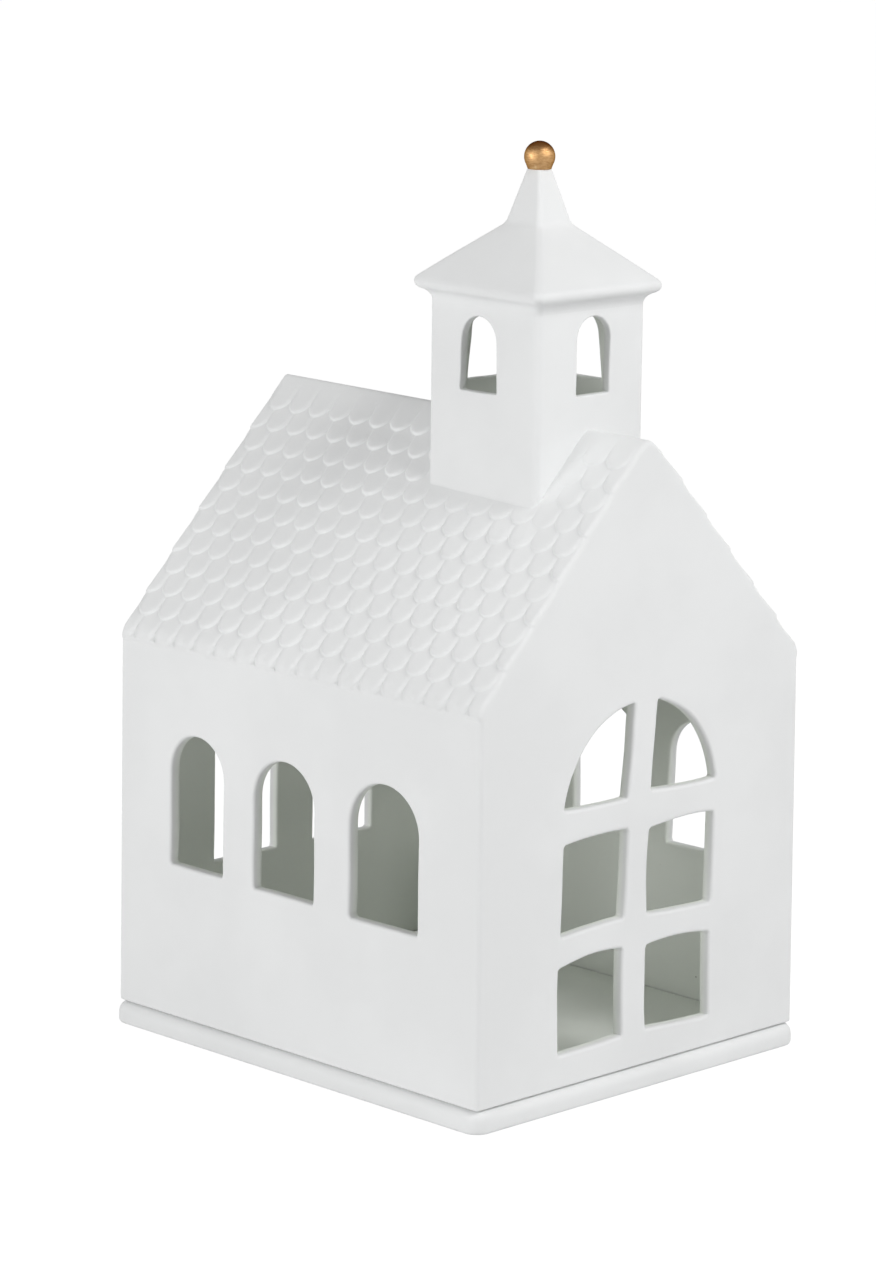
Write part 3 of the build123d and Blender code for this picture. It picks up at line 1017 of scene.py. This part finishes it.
shoulder = slope_foot[1] + (slope_foot[0] - room_half[0]) * fall - cap_wall / np.cos(slope_turn)
hollow_rows = np.array([
    (0.0, shoulder + room_half[0] * fall), (hollow_middle, shoulder + hollow_middle * fall),
    (room_half[0], shoulder), (room_half[0], cap_bottom),
])
outer_rows = np.concatenate([cove_rows, nose_rows, slope_rows, bend_rows, spire_rows, [(0.0, spire_top)]])
cap_rows = np.concatenate([hollow_rows, outer_rows])
hip_round = np.interp(outer_rows[:, 1], hip_levels, hip_radii)
cap_corner = np.concatenate([[0], [tower_inner_corner] * 3, hip_round])
cap_corner = np.minimum(cap_corner, hip_limit * cap_rows[:, 0])[:, None, None]
oblong = (tower_half[1] - tower_half[0]) * np.clip(cap_rows[:, 0] / room_half[0], 0, 1)
cap_half = np.stack([cap_rows[:, 0], cap_rows[:, 0] + oblong], -1)[:, None]
cap_place, cap_normal = rounded_square(per_corner=9, per_side=16)
cap_ring = cap_place * (cap_half - cap_corner) + cap_normal * cap_corner
cap_points, cap_faces = at_levels(cap_ring + tower_centre, cap_rows[:, 1])
cap_sheet = turned_askew(cap_points), cap_faces
cap = piece("tower_cap_cast", [cap_sheet], bisque, "house", "bisque", "tower_cap")


def inside_cap(points):
    """Depth mark of the cap: below the hollow's sloping roof and between its walls is inside."""
    from_room = from_tower(points[:, 0], points[:, 1]) + tower_wall
    ceiling = shoulder - from_room * fall
    return np.where((from_room < flat_rim) & (points[:, 2] < ceiling + flat_rim), cap_wall, 0.0)


mark_inside(cap, inside_cap)


# Gilded ball
# A small ball on the spire, moulded with it and brushed with gold lustre, which also covers the spire's
# very top. The lustre is uneven: thin streaks from the brush and a few worn places. The dark top is
# painted reflection, as if the ball mirrored a dark ceiling.
ball_radius = 3.75
ball_centre = 222.979
neck_radius = 2.75
neck_square = 0.03
neck_rise = 1.2
# Heights in metres of the painted dark top: a painted reflection of a dark ceiling.
dark_from = 0.2243
dark_full = 0.2266
dark_waver = 0.0012
gold_bright = (0.53, 0.32, 0.148, 1.0)
gold_deep = (0.39, 0.22, 0.092, 1.0)
gold_worn = (0.62, 0.42, 0.22, 1.0)
# Colour of the painted dark top, a painted reflection.
gold_painted_dark_top = (0.14, 0.065, 0.024, 1.0)

gilding = Finish("gold_lustre", {"Metallic": 1.0, "Specular Tint": (0.2, 0.15, 0.11, 1.0)})
brush_turn = {"Vector": gilding.place, "Scale": (1.0, 1.0, 3.5), "Rotation": (0.3, 0.2, 0.0)}
brushed = gilding.node("ShaderNodeMapping", {}, brush_turn)
streak = gilding.noise(scale=900.0, detail=4.0, rough=0.6, place=brushed)
patch = gilding.noise(scale=520.0, detail=3.0)
gold_tone = gilding.blend(gilding.between(0.35, 0.7, streak), gold_bright, gold_deep)
gold_tone = gilding.blend(gilding.between(0.58, 0.75, patch), gold_tone, gold_worn)
height = gilding.node("ShaderNodeSeparateXYZ", {}, {"Vector": gilding.place}, "Z")
# Painted reflection: the gold darkens over the ball's top as if it mirrored a dark ceiling.
painted_dark_top = gilding.between(dark_from, dark_full, height + dark_waver * streak)
gilding.set("Base Color", gilding.blend(painted_dark_top, gold_tone, gold_painted_dark_top))
gilding.set("Roughness", 0.40 + 0.1 * streak)
gilding.bump(0.6 * streak + 0.4 * patch, strength=0.08, distance=0.0002)

ball_columns = 96
neck_drop = ball_centre - spire_top
neck_lean = np.arccos(ball_radius / np.hypot(neck_radius, neck_drop))
neck_turn = np.arctan2(neck_radius, -neck_drop) - neck_lean
ball_turn = np.linspace(0, neck_turn, 44)
ball_row = np.stack([ball_radius * np.sin(ball_turn), ball_centre + ball_radius * np.cos(ball_turn)], -1)
neck_share = np.linspace(0, 1, 6)[1:, None]
neck_row = ball_row[-1] * (1 - neck_share) + np.array([neck_radius, spire_top]) * neck_share
ball_rows = np.concatenate([ball_row, neck_row, [(0.0, spire_top)]])
ball_angle = np.linspace(0, 2 * np.pi, ball_columns, endpoint=False)
squareness = neck_square * soft_step((spire_top + neck_rise - ball_rows[:, 1]) / neck_rise)[:, None]
girth = ball_rows[:, :1] * (1 - squareness * np.cos(4 * ball_angle))
ball_points, ball_faces = turned(girth, ball_rows[:, 1], ball_columns)
piece(
    "finial_ball_gilded",
    [(turned_askew(ball_points + (*tower_centre, 0)), ball_faces)],
    gilding, "house", "gilding", "finial_ball",
)


# Studio
# A sheet of white paper for a floor, which keeps the object's shadow, and four soft lamps at the left and
# in front. What the camera sees straight shows white without lighting the object.
floor_size = 6.0
paper_white = (0.82, 0.82, 0.82, 1.0)
glow_share = 0.85
glow_strength = 1.14
sky_white = (1.0, 1.0, 1.0, 1.0)
sky_light = 0.235

floor_corners = floor_size / 2 * np.array([(-1, -1, 0), (1, -1, 0), (1, 1, 0), (-1, 1, 0)])
floor_mesh = bpy.data.meshes.new("studio_floor")
floor_mesh.from_pydata(floor_corners, [], [(0, 1, 2, 3)])
floor = bpy.data.objects.new("studio_floor", floor_mesh)
bpy.context.scene.collection.objects.link(floor)


def seen_directly(nodes):
    """1 for what the camera sees straight, in a reflection or through glass, and 0 for other light."""
    camera_ray = nodes.node("ShaderNodeLightPath", {}, {}, "Is Camera Ray")
    glossy_ray = nodes.node("ShaderNodeLightPath", {}, {}, "Is Glossy Ray")
    glass_ray = nodes.node("ShaderNodeLightPath", {}, {}, "Is Transmission Ray")
    return camera_ray.math("MINIMUM", camera_ray + glossy_ray + glass_ray, 1.0)


paper = Finish("white_paper", {"Base Color": paper_white, "Roughness": 0.9})
glow = paper.node("ShaderNodeEmission", {}, {"Strength": glow_strength})
lit_paper = Wire(paper.surface.outputs[0])
glow_seen = glow_share * seen_directly(paper)
cover = paper.node("ShaderNodeMixShader", {}, {0: glow_seen, 1: lit_paper, 2: glow})
paper.feed(paper.tree.nodes["Material Output"].inputs["Surface"], cover)
floor_mesh.materials.append(paper.material)

world = bpy.data.worlds.new("studio")
bpy.context.scene.world = world
world.use_nodes = True
sky = Nodes(world.node_tree)
backdrop = sky.tree.nodes["Background"]
sky.feed(backdrop.inputs["Color"], sky_white)
sky.feed(backdrop.inputs["Strength"], sky_light + (1 - sky_light) * seen_directly(sky))

softboxes = {
    "left_softbox": ((-0.95, 0.12, 0.36), (1.1, 0.6), 2.95),
    "left_lamp": ((-0.85, 0.27, 0.25), (0.36, 0.36), 1.55),
    "front_softbox": ((0.38, -0.85, 0.85), (1.1, 0.9), 4.0),
    "front_lamp": ((0.08, -0.7, 0.75), (0.5, 0.5), 3.4),
}
aim = Vector((0, 0, 0.1))
for name, (spot, size, power) in softboxes.items():
    lamp = bpy.data.lights.new(name, "AREA")
    lamp.shape = "RECTANGLE"
    lamp.size, lamp.size_y = size
    lamp.energy = power
    holder = bpy.data.objects.new(name, lamp)
    holder.location = spot
    holder.rotation_euler = (aim - Vector(spot)).to_track_quat("-Z", "Y").to_euler()
    bpy.context.scene.collection.objects.link(holder)

azimuth, elevation, roll = np.radians((-44.82, 11.62, -0.70))
camera_distance = 1.1493
camera_target = np.array([0, 0, 0.1055])
frame_height = 1280
focal_pixels = 4639.0
framing = (20.1, -17.6)
sensor = 36.0
level = np.array([np.cos(azimuth), np.sin(azimuth), 0])
ahead = np.array([np.sin(azimuth), -np.cos(azimuth), 0])
back = ahead * np.cos(elevation) + np.array([0, 0, np.sin(elevation)])
upward = np.cross(back, level)
right_axis = np.cos(roll) * level - np.sin(roll) * upward
up_axis = np.sin(roll) * level + np.cos(roll) * upward
lens = bpy.data.cameras.new("camera")
lens.sensor_fit = "VERTICAL"
lens.sensor_height = sensor
lens.lens = focal_pixels / frame_height * sensor
lens.shift_x = -framing[0] / frame_height
lens.shift_y = framing[1] / frame_height
camera = bpy.data.objects.new("camera", lens)
stance = np.eye(4)
stance[:3, :3] = np.column_stack([right_axis, up_axis, back])
stance[:3, 3] = camera_target + back * camera_distance
camera.matrix_world = Matrix(stance)
bpy.context.scene.collection.objects.link(camera)
bpy.context.scene.camera = camera
bpy.context.scene.view_settings.view_transform = "Standard"
